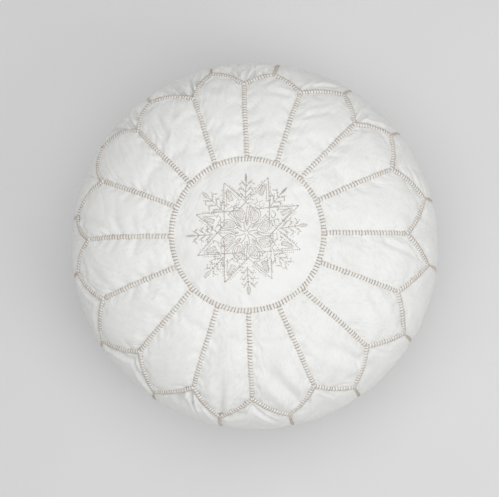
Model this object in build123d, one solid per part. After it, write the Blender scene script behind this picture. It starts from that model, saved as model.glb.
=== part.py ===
from build123d import *
import os
from math import cos, sin, radians

# Moroccan leather pouf: a round footstool cover sewn from white leather panels over a cotton
# filling, closed underneath by a zip.  Millimetres, +Z up, origin at the centre of the flat base.

os.makedirs("parts", exist_ok=True)

# ---- The whole cushion -------------------------------------------------------------------
RADIUS = 260.0            # at the waist, the widest place
HEIGHT = 330.0
WAIST_Z = 155.0
CROWN_POWER = 2.65        # superellipse power of the crown: 2 is an ellipse, more is squarer
HEEL_POWER = 2.2          # the same, from the waist down to the base
BASE_FLAT = 150.0         # radius of the flat that rests on the floor

LEATHER = 1.4             # thickness of a panel
FILL_GAP = 0.6            # between the leather and the filling

# ---- The panels, seen from above ---------------------------------------------------------
PETALS = 16
PITCH = 360.0 / PETALS
MEDALLION_RADIUS = 100.0  # the seam round the middle
VALLEY_RADIUS = 211.0     # where two petals' arches meet
TIP_RADIUS = 243.0        # the crest of an arch, where a side seam starts
ARCH_RISE = 3.0           # how far half an arch bows out from a straight line
BASE_RING_RADIUS = 195.0  # the seam between the side panels and the base

# Hand-cut panels are never quite even.  Each list starts at +X and goes round counter-clockwise,
# one value for a petal: degrees that a seam leans, and millimetres that a point stands further out.
RING_LEAN = (1, 3, 1, 0, 0, 2, 3, 1, 1, 2, 0, 0, 1, 1, 0, 1)
VALLEY_LEAN = (1, 3, 2, 3, 2, -1, 1, 1, 0, 0, 1, 2, 1, 1, 2, 2)
TIP_LEAN = (2, 3, 1, 3, 2, 2, 1, 3, -1, 0, 1, 1, 1, 1, 2, 3)
VALLEY_OUT = (0, 1, -3, -3, -2, -8, -1, 3, 7, 2, 1, 3, 4, 5, 3, 0)
TIP_OUT = (1, -4, -6, -16, -6, -6, 2, 0, 0, 4, 3, 1, 0, 1, 0, 0)
ARCH_EXTRA = (0, 0, 0, 0, 1, 2, 6, 3, 2, 1, 0, 0, 0, 0, -1, -1)

# ---- Stitching ---------------------------------------------------------------------------
SEAM_WIDTH = 7.0
SEAM_RISE = 1.8           # a sewn seam stands this far above the leather
THREAD_GAP = 0.05         # keeps the curved undersides of seams and thread just off the leather
EMBROIDERY_RISE = 0.8
STAR_POINTS = 8
STAR_SKIP = 3             # each line of the star joins a tip to the third one along
STAR_TIP = 73.0
STAR_LINE = 1.6           # width of the embroidered outline
STAR_TURN = 24.0          # degrees from +X to a tip of the star
FERN_START, FERN_END, FERN_WIDTH = 50.0, 81.0, 8.0
ROSETTE_RADIUS = 35.0
ROSETTE_PETAL = 8.0       # radius of each rounded petal of the rosette

# ---- The zip in the base: it runs along X in a shallow channel, clear of the floor --------
CHANNEL_HALF_LENGTH = 165.0
CHANNEL_HALF_WIDTH = 9.0
CHANNEL_DEPTH = 8.4       # the tape lies at the top of the channel
TAPE = 0.6                # thickness
TAPE_EDGE = 1.2           # from the centre line to the tape's corded edge
TAPE_OUTER = 17.0
TAPE_HALF_LENGTH = 172.0
TOOTH_PITCH = 3.0
TOOTH_LENGTH = 1.2
TOOTH_REACH = 0.8         # how far a tooth passes the centre line
TOOTH_ROOT = 2.4
TOOTH_LOW, TOOTH_HIGH = 7.2, 10.2
TEETH_START, TEETH_END = -136.5, 142.5
STOP_LENGTH = 3.0
STOP_HALF_WIDTH = 3.4
TOP_STOP_X = 148.0
BOTTOM_STOP_X = -140.0       # far enough in for the trailing pull to stay in the channel
CENTRE_SEAM_START, CENTRE_SEAM_END = 173.0, 191.0
TAPE_ROOM = 0.4           # the filling stops this far above the tapes
SLIDER_ROOM_HALF_WIDTH, SLIDER_ROOM_TOP = 8.0, 13.0

# ---- The slider and its pull, with the slider at the closed end -----------------------------
SLIDER_X = 141.0
SLIDER_HALF_LENGTH = 6.5
SLIDER_REAR, SLIDER_FRONT = 4.2, 5.4   # half widths at its ends
PLATE_LOW, PLATE_HIGH = 5.7, 11.6      # outer faces of its two plates
PLATE = 1.1
FLANGE = 0.9
FLANGE_REACH = 1.15       # how far each flange turns in over the teeth
POST_HALF_WIDTH = 0.7
BRIDGE_LOW = 2.9
BRIDGE_HALF_LENGTH = 4.0
BRIDGE_HALF_WIDTH = 1.2
BRIDGE_BAR = 1.1
PIVOT_Z = 4.85            # axis of the pull
PULL_THICKNESS = 1.2
PULL_LENGTH = 28.0
PULL_EYE = 5.4            # length of the opening that the bridge passes through
PULL_ARM = 1.2
PULL_HALF_WIDTH = 2.8
TAB_HALF_WIDTH = 3.6


# ---- Shapes of revolution ------------------------------------------------------------------
def profile_point(turn, offset, centre, reach, height, power):
    """A point of a superellipse quarter, `turn` degrees from its pole, pushed out by `offset`."""
    out = reach * sin(radians(turn)) ** (2 / power)
    up = abs(height) * cos(radians(turn)) ** (2 / power)
    normal = Vector((out / reach) ** (power - 1) / reach, (up / abs(height)) ** (power - 1) / abs(height))
    normal = normal.normalized() * offset
    side = 1 if height > 0 else -1
    return (centre + out + normal.X, WAIST_Z + side * (up + normal.Y))


def body(offset):
    """The whole cushion as one solid, grown by `offset`."""
    crown = [profile_point(t, offset, 0, RADIUS, HEIGHT - WAIST_Z, CROWN_POWER) for t in range(0, 86, 10)]
    heel = [profile_point(t, offset, BASE_FLAT, RADIUS - BASE_FLAT, -WAIST_Z, HEEL_POWER)
            for t in range(0, 76, 15)]
    waist = (RADIUS + offset, WAIST_Z)
    outline = Spline(*crown, waist, tangents=[(1, 0), (0, -1)])
    outline += Spline(waist, *reversed(heel), tangents=[(0, -1), (-1, 0)])
    outline += Polyline(heel[0], (0, -offset), crown[0])
    return revolve(make_face(Plane.XZ * outline), Axis.Z)


def polar(radius, degrees):
    return (radius * cos(radians(degrees)), radius * sin(radians(degrees)))


def prism(lines, low, high):
    """What lies above and below a closed outline, between two heights."""
    return extrude(Pos(0, 0, low) * make_face(lines), high - low)


def ring(radius, width, low, high):
    rim = Circle(radius + width / 2) - Circle(radius - width / 2)
    return extrude(Pos(0, 0, low) * rim, high - low)


def slab(x0, x1, y0, y1, z0, z1):
    """A box given by its faces."""
    return Pos((x0 + x1) / 2, (y0 + y1) / 2, (z0 + z1) / 2) * Box(x1 - x0, y1 - y0, z1 - z0)


def save(name, *shapes):
    solids = [solid for shape in shapes for solid in shape.solids()]
    export_step(solids[0] if len(solids) == 1 else Compound(children=solids), f"parts/{name}.step")


def on_layer(layer, cutter):
    """The part of a layer inside a cutter."""
    return Part() + (layer & cutter)


skin = body(0)
leather = skin - body(-LEATHER)
under_thread = body(THREAD_GAP)
seam_layer = body(SEAM_RISE) - under_thread
embroidery_layer = body(EMBROIDERY_RISE) - under_thread

# ---- Corners of the panels -----------------------------------------------------------------
FAR = RADIUS + 50
CEILING = HEIGHT + 10
ring_points = [polar(MEDALLION_RADIUS, k * PITCH + RING_LEAN[k]) for k in range(PETALS)]
valleys = [polar(VALLEY_RADIUS + VALLEY_OUT[k], k * PITCH + VALLEY_LEAN[k]) for k in range(PETALS)]
tip_angles = [(k + 0.5) * PITCH + TIP_LEAN[k] for k in range(PETALS)]
tips = [polar(TIP_RADIUS + TIP_OUT[k], tip_angles[k]) for k in range(PETALS)]


def half_arch(start, end, rise):
    """One side of an arch, going round counter-clockwise and bowing outwards."""
    return SagittaArc(start, end, -rise)


def arch(k):
    rise = ARCH_RISE + ARCH_EXTRA[k]
    return [half_arch(valleys[k], tips[k], rise), half_arch(tips[k], valleys[(k + 1) % PETALS], rise)]


def petal(k):
    after = (k + 1) % PETALS
    middle = polar(MEDALLION_RADIUS, (k + 0.5) * PITCH + (RING_LEAN[k] + RING_LEAN[after]) / 2)
    lines = [Line(ring_points[k], valleys[k]), *arch(k), Line(valleys[after], ring_points[after]),
             ThreePointArc(ring_points[after], middle, ring_points[k])]
    return on_layer(leather, prism(lines, WAIST_Z, CEILING))


def side_panel(k):
    """The panel below valley k, from one arch's tip to the next one's and down to the base."""
    before = (k - 1) % PETALS
    start, end = tip_angles[before], tip_angles[k]
    if end < start:
        start -= 360
    far_start, far_end = polar(FAR, start), polar(FAR, end)
    upper = [arch(before)[1], arch(k)[0], Line(tips[k], far_end), Line(far_end, far_start),
             Line(far_start, tips[before])]
    low_start, low_end = polar(BASE_RING_RADIUS, start), polar(BASE_RING_RADIUS, end)
    lower = [ThreePointArc(low_start, polar(BASE_RING_RADIUS, (start + end) / 2), low_end),
             Line(low_end, far_end), Line(far_end, far_start), Line(far_start, low_start)]
    return on_layer(leather, prism(upper, WAIST_Z, CEILING) + prism(lower, -1, WAIST_Z))


def straight_band(start, end):
    """A strip as wide as a seam along a straight line in plan."""
    return trace(Line(start, end), SEAM_WIDTH)


# ---- Top ------------------------------------------------------------------------------------
save("medallion", on_layer(leather, extrude(Pos(0, 0, WAIST_Z) * Circle(MEDALLION_RADIUS), HEIGHT)))
for k in range(PETALS):
    save(f"petal_{k + 1:02d}", petal(k))
    save(f"side_panel_{k + 1:02d}", side_panel(k))

ring_band = ring(MEDALLION_RADIUS, SEAM_WIDTH, WAIST_Z, CEILING)
scallop_face = Sketch()
for k in range(PETALS):
    for half in arch(k):
        scallop_face += trace(half, SEAM_WIDTH)
        scallop_face += Pos(half @ 0) * Circle(SEAM_WIDTH / 2)
scallop_band = extrude(Pos(0, 0, WAIST_Z) * scallop_face, CEILING - WAIST_Z)
save("medallion_ring_stitching", on_layer(seam_layer, ring_band))
save("scallop_stitching", on_layer(seam_layer, scallop_band))

seams = []
for k in range(PETALS):
    strip = extrude(Pos(0, 0, WAIST_Z) * straight_band(ring_points[k], valleys[k]), CEILING - WAIST_Z)
    seams.append(on_layer(seam_layer, strip - ring_band - scallop_band))
save("petal_seam_stitching", *seams)

# ---- Embroidery on the medallion ----------------------------------------------------------------
HALF_POINT = 180 / STAR_POINTS


def star(line_distance):
    """The outline of a star polygon whose lines pass this far from its centre."""
    tip = line_distance / cos(radians(STAR_SKIP * HALF_POINT))
    notch = line_distance / cos(radians((STAR_SKIP - 1) * HALF_POINT))
    corners = [polar((tip, notch)[i % 2], STAR_TURN + i * HALF_POINT) for i in range(2 * STAR_POINTS)]
    return make_face(Polyline(*corners, close=True))


line_distance = STAR_TIP * cos(radians(STAR_SKIP * HALF_POINT))
star_line = star(line_distance) - star(line_distance - STAR_LINE)
ferns = []
rosette = Circle(ROSETTE_RADIUS - ROSETTE_PETAL)
for i in range(STAR_POINTS):
    angle = STAR_TURN + (2 * i + 1) * HALF_POINT
    middle = (FERN_START + FERN_END) / 2
    ferns.append(Rot(0, 0, angle) * Pos(middle, 0) * Ellipse((FERN_END - FERN_START) / 2, FERN_WIDTH / 2))
    rosette += Rot(0, 0, angle) * Pos(ROSETTE_RADIUS - ROSETTE_PETAL, 0) * Circle(ROSETTE_PETAL)
rosette -= offset(rosette, -STAR_LINE)
motifs = [star_line, *ferns, rosette]
save("medallion_embroidery",
     *[on_layer(embroidery_layer, extrude(Pos(0, 0, WAIST_Z) * motif, HEIGHT)) for motif in motifs])

# ---- Sides ----------------------------------------------------------------------------------------
base_ring_band = ring(BASE_RING_RADIUS, SEAM_WIDTH, -10, WAIST_Z)
save("base_ring_stitching", on_layer(seam_layer, base_ring_band))
seams = []
for k in range(PETALS):
    start, far = polar(BASE_RING_RADIUS, tip_angles[k]), polar(FAR, tip_angles[k])
    lower = extrude(Pos(0, 0, -10) * straight_band(start, far), WAIST_Z + 10) - base_ring_band
    upper = extrude(Pos(0, 0, WAIST_Z) * straight_band(tips[k], far), CEILING - WAIST_Z) - scallop_band
    seams.append(on_layer(seam_layer, lower + upper))
save("side_seam_stitching", *seams)

# ---- Base: two halves, each with its edge turned up round the zip's channel ----------------------------
base_disc = on_layer(leather, extrude(Pos(0, 0, -1) * Circle(BASE_RING_RADIUS), WAIST_Z))
frame_x, frame_y = CHANNEL_HALF_LENGTH + LEATHER, CHANNEL_HALF_WIDTH + LEATHER
channel = slab(-CHANNEL_HALF_LENGTH, CHANNEL_HALF_LENGTH, -CHANNEL_HALF_WIDTH, CHANNEL_HALF_WIDTH,
               -1, CHANNEL_DEPTH)
turned_edge = (slab(-frame_x, frame_x, -frame_y, frame_y, LEATHER, CHANNEL_DEPTH) & skin) - channel
base = base_disc + turned_edge - channel
for name, y0, y1 in (("front", -FAR, 0), ("back", 0, FAR)):
    save(f"base_panel_{name}", on_layer(base, slab(-FAR, FAR, y0, y1, -1, WAIST_Z)))
centre_strip = slab(CENTRE_SEAM_START, CENTRE_SEAM_END, -SEAM_WIDTH / 2, SEAM_WIDTH / 2, -5, WAIST_Z)
centre_seam = on_layer(seam_layer, centre_strip)
save("base_centre_stitching", centre_seam, Rot(0, 0, 180) * centre_seam)

# ---- Zip --------------------------------------------------------------------------------------------
tape_top = CHANNEL_DEPTH + TAPE
both_tapes = slab(-TAPE_HALF_LENGTH, TAPE_HALF_LENGTH, TAPE_EDGE, TAPE_OUTER, CHANNEL_DEPTH, tape_top)
both_tapes += mirror(both_tapes, Plane.XZ)
teeth_count = int((TEETH_END - TEETH_START) / TOOTH_PITCH)
for name, side, shift in (("front", -1, 0), ("back", 1, TOOTH_PITCH / 2)):
    near, far = sorted((-side * TOOTH_REACH, side * TOOTH_ROOT))
    tooth = slab(0, TOOTH_LENGTH, near, far, TOOTH_LOW, TOOTH_HIGH) - both_tapes
    places = [TEETH_START + shift + i * TOOTH_PITCH for i in range(teeth_count)]
    save(f"zip_teeth_{name}", *[Pos(x, 0, 0) * tooth for x in places])
    near, far = sorted((side * TAPE_EDGE, side * TAPE_OUTER))
    save(f"zip_tape_{name}", slab(-TAPE_HALF_LENGTH, TAPE_HALF_LENGTH, near, far, CHANNEL_DEPTH, tape_top))
top_stop = slab(TOP_STOP_X, TOP_STOP_X + STOP_LENGTH, TOOTH_REACH, STOP_HALF_WIDTH, TOOTH_LOW, TOOTH_HIGH)
top_stop -= both_tapes
save("zip_top_stops", top_stop, mirror(top_stop, Plane.XZ))
bottom_stop = slab(BOTTOM_STOP_X - STOP_LENGTH, BOTTOM_STOP_X, -STOP_HALF_WIDTH, STOP_HALF_WIDTH,
                   TOOTH_LOW, TOOTH_HIGH)
save("zip_bottom_stop", bottom_stop - both_tapes)

# ---- Slider: two plates joined by a post at the front, with flanges that hold the teeth -------------------
outline = make_face(Polyline((-SLIDER_HALF_LENGTH, -SLIDER_REAR), (0, -SLIDER_REAR),
                             (SLIDER_HALF_LENGTH, -SLIDER_FRONT), (SLIDER_HALF_LENGTH, SLIDER_FRONT),
                             (0, SLIDER_REAR), (-SLIDER_HALF_LENGTH, SLIDER_REAR), close=True))
rim = outline - offset(outline, -FLANGE, kind=Kind.INTERSECTION)
rim -= Rectangle(4 * SLIDER_HALF_LENGTH, 2 * (SLIDER_REAR - FLANGE))
inner_low, inner_high = PLATE_LOW + PLATE, PLATE_HIGH - PLATE
slider = extrude(Pos(0, 0, PLATE_LOW) * outline, PLATE) + extrude(Pos(0, 0, inner_high) * outline, PLATE)
slider += extrude(Pos(0, 0, inner_low) * rim, FLANGE_REACH)
slider += extrude(Pos(0, 0, inner_high - FLANGE_REACH) * rim, FLANGE_REACH)
slider += slab(SLIDER_HALF_LENGTH - 2, SLIDER_HALF_LENGTH, -POST_HALF_WIDTH, POST_HALF_WIDTH,
               inner_low, inner_high)
bridge = slab(-BRIDGE_HALF_LENGTH, BRIDGE_HALF_LENGTH, -BRIDGE_HALF_WIDTH, BRIDGE_HALF_WIDTH,
              BRIDGE_LOW, PLATE_LOW)
bridge -= slab(BRIDGE_BAR - BRIDGE_HALF_LENGTH, BRIDGE_HALF_LENGTH - BRIDGE_BAR, -BRIDGE_HALF_WIDTH,
               BRIDGE_HALF_WIDTH, BRIDGE_LOW + BRIDGE_BAR, PLATE_LOW)
save("zip_slider", Pos(SLIDER_X, 0, 0) * (slider + bridge))

# ---- Pull: a flat tab with an eye that turns round the bridge ----------------------------------------------
pin = PULL_THICKNESS / 2
eye = slab(-PULL_EYE - PULL_ARM, 0, -PULL_HALF_WIDTH, PULL_HALF_WIDTH, -pin, pin)
eye -= slab(-PULL_EYE, pin, PULL_ARM - PULL_HALF_WIDTH, PULL_HALF_WIDTH - PULL_ARM, -pin, pin)
eye += Rot(90, 0, 0) * Cylinder(pin, 2 * PULL_HALF_WIDTH)
tab = Pos(-(PULL_LENGTH + PULL_EYE) / 2, 0) * RectangleRounded(PULL_LENGTH - PULL_EYE, 2 * TAB_HALF_WIDTH, 2)
pull = eye + extrude(Pos(0, 0, -pin) * tab, PULL_THICKNESS)
save("zip_pull", Pos(SLIDER_X, 0, PIVOT_Z) * pull)

# ---- Filling: it keeps clear of the zip -----------------------------------------------------------------------
tape_room = slab(-TAPE_HALF_LENGTH - 1, TAPE_HALF_LENGTH + 1, -TAPE_OUTER - 1, TAPE_OUTER + 1,
                 -1, tape_top + TAPE_ROOM)
slider_room = slab(-CHANNEL_HALF_LENGTH, CHANNEL_HALF_LENGTH, -SLIDER_ROOM_HALF_WIDTH,
                   SLIDER_ROOM_HALF_WIDTH, -1, SLIDER_ROOM_TOP)
save("cotton_filling", body(-LEATHER - FILL_GAP) - tape_room - slider_room)
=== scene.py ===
import random
from math import cos, hypot, pi, radians, sin

import bpy
import numpy as np
from mathutils import Matrix, Vector, noise
from mathutils.bvhtree import BVHTree


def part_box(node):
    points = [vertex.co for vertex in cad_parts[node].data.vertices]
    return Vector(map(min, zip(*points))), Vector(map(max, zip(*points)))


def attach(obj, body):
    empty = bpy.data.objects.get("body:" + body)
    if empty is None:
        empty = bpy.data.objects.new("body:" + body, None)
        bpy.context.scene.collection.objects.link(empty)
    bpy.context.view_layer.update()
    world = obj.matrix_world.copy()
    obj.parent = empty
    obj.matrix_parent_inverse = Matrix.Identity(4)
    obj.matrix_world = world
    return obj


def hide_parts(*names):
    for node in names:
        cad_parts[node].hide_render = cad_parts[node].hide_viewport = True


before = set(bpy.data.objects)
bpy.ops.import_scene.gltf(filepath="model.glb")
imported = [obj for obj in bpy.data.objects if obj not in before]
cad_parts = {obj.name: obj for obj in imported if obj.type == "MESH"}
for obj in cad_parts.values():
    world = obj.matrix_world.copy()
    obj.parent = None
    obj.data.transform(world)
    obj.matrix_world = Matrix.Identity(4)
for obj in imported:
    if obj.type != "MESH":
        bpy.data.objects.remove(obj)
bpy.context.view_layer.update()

# White Moroccan leather pouf: sewn leather panels, raised ladder-stitched seams, an embroidered
# medallion and a zip underneath.  Metres, in the CAD model's frame.

MM = 0.001
UV_UNIT = 100 * MM              # the leather's texture coordinates count in this
rng = random.Random(7)
noise.seed_set(7)               # without a seed, noise_vector follows the clock

# ---- The cushion's form, from the frame
filling_high, medallion_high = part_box("cotton_filling")[1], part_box("medallion")[1]
LEATHER = 1.4 * MM
FILL_GAP = 0.6 * MM
RADIUS = filling_high.x + LEATHER + FILL_GAP
HEIGHT = medallion_high.z
MEDALLION_RADIUS = medallion_high.x
BASE_RING_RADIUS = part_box("base_panel_back")[1].x
WAIST_Z = 155 * MM
CROWN_POWER = 2.65
HEEL_POWER = 2.2
BASE_FLAT = 150 * MM

# ---- Panel layout: part.py's values, in degrees and millimetres
PETALS = 16
PITCH = 360 / PETALS
VALLEY_RADIUS, TIP_RADIUS, ARCH_RISE = 211, 243, 3
RING_LEAN = (1, 3, 1, 0, 0, 2, 3, 1, 1, 2, 0, 0, 1, 1, 0, 1)
VALLEY_LEAN = (1, 3, 2, 3, 2, -1, 1, 1, 0, 0, 1, 2, 1, 1, 2, 2)
TIP_LEAN = (2, 3, 1, 3, 2, 2, 1, 3, -1, 0, 1, 1, 1, 1, 2, 3)
VALLEY_OUT = (0, 1, -3, -3, -2, -8, -1, 3, 7, 2, 1, 3, 4, 5, 3, 0)
TIP_OUT = (1, -4, -6, -16, -6, -6, 2, 0, 0, 4, 3, 1, 0, 1, 0, 0)
ARCH_EXTRA = (0, 0, 0, 0, 1, 2, 6, 3, 2, 1, 0, 0, 0, 0, -1, -1)

# ---- Leather
ACROSS = 24                     # cells across a petal or a side panel, even, so one column meets the tip
PETAL_ROWS, SIDE_ROWS, DISC_CELLS = 28, 56, 40
ARCH_CELLS = 60                 # cells along half an arch
GATHER_ACROSS = 0.05            # how much closer the cells are next to the seams
PETAL_GATHER, SIDE_GATHER, DISC_GATHER = 0.11, 0.13, 0.08
FINER = 3                       # each simulated cell is split into this many, each way
SEAM_SINK = 1.6 * MM            # the stitching pulls the leather in this far
SINK_REACH = 6 * MM
SEAM_ALLOWANCE = 3.2 * MM       # next to a seam the leather is held down by the stitches
MEDALLION_CROWN = 3.0 * MM      # the form that a panel is cut to, before it is stuffed
PETAL_CROWN = 2.0 * MM
CROWN_REACH = 18 * MM
SIDE_FLATNESS = 3.2 * MM        # side panels run nearly straight from one seam to the next
PULL_IN, PUFF_OUT = 4 * MM, 8 * MM
SHEET = 1.2 * MM
MEDALLION_LOOSE, PETAL_LOOSE, SIDE_LOOSE, CRUMPLED_LOOSE = 0.25, 0.38, 0.5, 0.9
CRUMPLED = ("side_panel_05", "side_panel_06", "side_panel_07")
STUFFING_STEPS = 22
CLOTH = {"quality": 6, "mass": 0.3, "tension_stiffness": 30, "compression_stiffness": 30,
         "shear_stiffness": 12, "bending_stiffness": 1.5, "use_pressure": True,
         "uniform_pressure_force": 12, "vertex_group_mass": "sewn", "vertex_group_shrink": "taut",
         "shrink_min": -0.03, "shrink_max": 0.0}
# Creases: depth, size across, stretch and direction in radians, each for one kind.
LONG_CREASE = (0.55 * MM, 8 * MM, 5.0, 0.0)
FINE_CREASE = (0.28 * MM, 3.5 * MM, 4.0, 0.3)
PULLS = (1.2 * MM, 13 * MM, 4.0, 0.8)
CRUMPLE = (8.0 * MM, 24 * MM, 1.5, 1.3)
GATHERS = (1.7 * MM, 7 * MM, 1.0, 0.0)
BASE_CREASE = (0.5 * MM, 14 * MM, 3.5, 1.2)
SMOOTH_BORDER, BASE_BORDER = 5 * MM, 6 * MM       # creases fade out this near to a seam
CRUMPLE_REACH, CRUMPLE_BORDER, GATHER_REACH = 70 * MM, 9 * MM, 12 * MM

# ---- Seams
RIB_HALF_WIDTH, RIB_HEIGHT = 2.8 * MM, 2.3 * MM
STITCH_PITCH, THREAD = 4.25 * MM, 0.8 * MM
RIB_STEP = 2 * MM
WANDER = 0.8 * MM               # how far a rib and its stitches stray from their line
WANDERS_PER_M, LEANS_PER_M = 30, 22

# ---- Embroidery
STAR_POINTS = 8
STAR_TURN, STAR_REACH = 24, 73 * MM
STAR_LEAN = (4, 0, 0, 0, 0, -3, 5, 4)        # degrees, for each tip
STAR_OUT = (4, 6, 0, -2, -3, -3, -5, 0)      # millimetres
FERN_ANGLES = (8, 49, 91, 137, 182, 226, 272, 323)
ROSETTE_TURN = 14
KNOTTED = {"stitch": 1.1 * MM, "gap": 1.5 * MM, "floss": 0.6 * MM}
KNOTTED_TIPS, KNOTTED_FERNS, KNOTTED_LEAVES = (6, 7), (7,), (0, 5, 6, 7)
PALE_BUDS = (0, 3, 5, 6)
FLOSS, FINE, THIN, THINNEST = 0.55 * MM, 0.45 * MM, 0.4 * MM, 0.38 * MM
STRAY, STRAYS_PER_M = 0.9 * MM, 75

# ---- Zip: part.py's values
CHANNEL_HALF_LENGTH, CHANNEL_HALF_WIDTH, CHANNEL_DEPTH = 165 * MM, 9 * MM, 8.4 * MM
CENTRE_SEAM = (174 * MM, 190 * MM)
CHANNEL_CORNER = 2.5 * MM
FOLD_RADIUS = 1.6 * MM          # of the leather's edge where it turns up into the channel
HALF_JOIN = 0.25 * MM           # beyond the channel the two halves stop this far from the centre line
CHANNEL_FADE = 3 * MM           # the halves close over this length past the channel's ends
BASE_CELLS = (96, 40)

# ---- Filling
WADDING_CELLS = (160, 110)      # round the cushion, and down it
WADDING_GAP = 3.5 * MM          # from the inside of the leather to the wadding's highest lumps
LUMP = 3 * MM
LUMPS_PER_M = 28
ZIP_ROOM, ZIP_ROOM_HALF_WIDTH, ZIP_ROOM_HALF_LENGTH = 14 * MM, 17 * MM, 190 * MM
ZIP_ROOM_REACH, LOW_DOWN = 30 * MM, 60 * MM       # the hollow ends this far out, and isn't at the top
POLE_GAP = 4 * MM

# ---- Light and camera
WINDOW = {"place": (1.7, -1.2, 1.9), "aim": (0, 0, 0.15), "size": 1.5, "power": 13.5}
OVERHEAD = {"place": (0.1, 0.0, 2.6), "aim": (0, 0, 0), "size": 2.4, "power": 26.5}
SKY, SKY_STRENGTH = (0.985, 0.985, 0.975, 1), 0.56
FLOOR_SIZE = 60.0
CAMERA_DISTANCE, FIELD_ACROSS = 1.8, 0.72
CAMERA_AZIMUTH, CAMERA_ELEVATION = 34, 83.5
CAMERA_AIM = (-0.0078, -0.0028, WAIST_Z)


# ---- Form
def unit(vectors):
    return vectors / np.linalg.norm(vectors, axis=-1, keepdims=True)


def as_rows(*values):
    """One row for each place, from arrays that are stretched to one shape."""
    return np.stack(np.broadcast_arrays(*values), -1).reshape(-1, len(values))


def read_off(at, knots, points):
    """A line's points at places that are given on the same scale as its knots."""
    return np.stack([np.interp(at, knots, points[:, i]) for i in range(points.shape[1])], -1)


def quarter(reach, height, power, turns):
    """A superellipse quarter: distance out, distance up and unit normal at each turn from its pole."""
    out = reach * np.sin(turns) ** (2 / power)
    up = height * np.cos(turns) ** (2 / power)
    normal = np.stack([(out / reach) ** (power - 1) / reach, (up / height) ** (power - 1) / height], 1)
    return out, up, unit(normal)


def profile():
    """Length along the outline from the top's centre to the base's, with radius, height and normal."""
    turns = np.linspace(0, pi / 2, 500)
    out, up, normal = quarter(RADIUS, HEIGHT - WAIST_Z, CROWN_POWER, turns)
    heel_out, heel_up, heel_normal = quarter(RADIUS - BASE_FLAT, WAIST_Z, HEEL_POWER, turns[::-1])
    heel_normal[:, 1] *= -1
    radius = np.concatenate([out, BASE_FLAT + heel_out[1:], [0]])
    height = np.concatenate([WAIST_Z + up, WAIST_Z - heel_up[1:], [0]])
    normals = np.concatenate([normal, heel_normal[1:], [[0, -1]]])
    step = np.hypot(np.diff(radius), np.diff(height))
    return np.concatenate([[0], np.cumsum(step)]), radius, height, normals, len(turns)


LENGTH, OUT, UP, NORMAL, CROWN_END = profile()


def down_to(radius):
    """Length from the top's centre to a radius on the crown."""
    return np.interp(radius, OUT[:CROWN_END], LENGTH[:CROWN_END])


BASE_LENGTH = float(np.interp(-BASE_RING_RADIUS, -OUT[CROWN_END:], LENGTH[CROWN_END:]))


def cover(angle, length, lift=0.0):
    """Points on the cushion's form, and their normals, from angle and length down the outline."""
    r, z = np.interp(length, LENGTH, OUT), np.interp(length, LENGTH, UP)
    nr, nz = np.interp(length, LENGTH, NORMAL[:, 0]), np.interp(length, LENGTH, NORMAL[:, 1])
    normal = unit(np.stack([nr * np.cos(angle), nr * np.sin(angle), nz], -1))
    point = np.stack([r * np.cos(angle), r * np.sin(angle), z], -1)
    return point + normal * np.asarray(lift)[..., None], normal


def polar(radius, degrees):
    return np.array([radius * cos(radians(degrees)), radius * sin(radians(degrees))])


ring_angles = [k * PITCH + RING_LEAN[k] for k in range(PETALS)]
valleys = [polar((VALLEY_RADIUS + VALLEY_OUT[k]) * MM, k * PITCH + VALLEY_LEAN[k]) for k in range(PETALS)]
tip_angles = [(k + 0.5) * PITCH + TIP_LEAN[k] for k in range(PETALS)]
tips = [polar((TIP_RADIUS + TIP_OUT[k]) * MM, tip_angles[k]) for k in range(PETALS)]


def bowed(start, end, rise, count):
    """Points in plan on an arc that bows to the right of its direction."""
    chord = end - start
    span = np.linalg.norm(chord)
    right = np.array([chord[1], -chord[0]]) / span
    radius = (span * span / 4 + rise * rise) / (2 * rise)
    half = np.arcsin(span / 2 / radius)
    turn = np.linspace(-half, half, count + 1)
    middle = (start + end) / 2 + right * (rise - radius)
    along = chord / span
    return middle + radius * (np.sin(turn)[:, None] * along + np.cos(turn)[:, None] * right)


def half_arches(k, count):
    """The two sides of petal k's arch, each with its own points."""
    rise = (ARCH_RISE + ARCH_EXTRA[k]) * MM
    return (bowed(valleys[k], tips[k], rise, count),
            bowed(tips[k], valleys[(k + 1) % PETALS], rise, count))


# ---- Meshes
def linked(name, data):
    obj = bpy.data.objects.new(name, data)
    bpy.context.scene.collection.objects.link(obj)
    return obj


def add_object(name, points, faces, uvs=None):
    mesh = bpy.data.meshes.new(name)
    mesh.from_pydata([tuple(p) for p in points], [], [tuple(f) for f in faces])
    mesh.validate()
    mesh.polygons.foreach_set("use_smooth", [True] * len(mesh.polygons))
    if uvs is not None:
        layer = mesh.uv_layers.new(name="panel")
        corner = np.empty(len(mesh.loops), int)
        mesh.loops.foreach_get("vertex_index", corner)
        layer.data.foreach_set("uv", np.asarray(uvs)[corner].ravel())
    return linked(name, mesh)


def grid_faces(rows, columns, first=0, flip=False):
    a = first + np.arange(rows)[:, None] * (columns + 1) + np.arange(columns)
    quads = np.stack([a, a + 1, a + columns + 2, a + columns + 1], -1).reshape(-1, 4)
    return quads[:, ::-1] if flip else quads


def tube_faces(steps, sides, first=0):
    """Quads round a tube whose cross-sections follow one another."""
    a = first + np.arange(steps - 1)[:, None] * sides + np.arange(sides)
    b = first + np.arange(steps - 1)[:, None] * sides + (np.arange(sides) + 1) % sides
    return np.stack([a, b, b + sides, a + sides], -1).reshape(-1, 4)


def tube_ends(steps, sides, first=0):
    """The two end caps of such a tube."""
    last = first + (steps - 1) * sides
    return [list(range(first + sides - 1, first - 1, -1)), list(range(last, last + sides))]


def gone_along(points, axis=0):
    """Length from the start of a path to each of its points, or along one axis of a grid."""
    step = np.linalg.norm(np.diff(points, axis=axis), axis=-1)
    return np.concatenate([0 * np.take(step, [0], axis), np.cumsum(step, axis)], axis)


def thicken(obj):
    thick = obj.modifiers.new("Thickness", "SOLIDIFY")
    thick.thickness, thick.offset = SHEET, -1


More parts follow.
